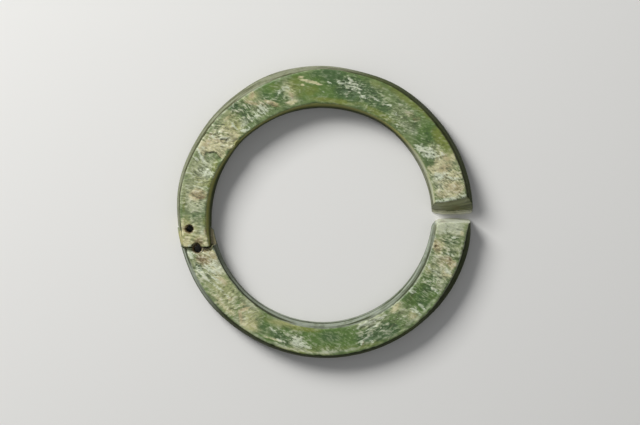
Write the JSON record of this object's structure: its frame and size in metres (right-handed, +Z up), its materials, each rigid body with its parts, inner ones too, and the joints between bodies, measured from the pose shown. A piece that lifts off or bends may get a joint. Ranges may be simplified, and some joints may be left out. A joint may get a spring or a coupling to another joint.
{
  "type": "slit ring earring",
  "caption": "Flat slit ring earring of green jade-like stone, broken opposite its slit and mended with a lap joint and drilled lacing holes.",
  "frame": {"origin": "under the centre of the ring's outer box, on the plane of its underside", "axes": "+Z up through the ring's thickness, +X towards the slit, +Y towards the upper half"},
  "size_m": [0.062, 0.0612, 0.005],
  "materials": {
    "green_stone": "ground and worn, soft gloss"
  },
  "bodies": {
    "root": {"upper_half_ring": "green_stone", "lower_half_ring": "green_stone"}
  },
  "joints": []
}
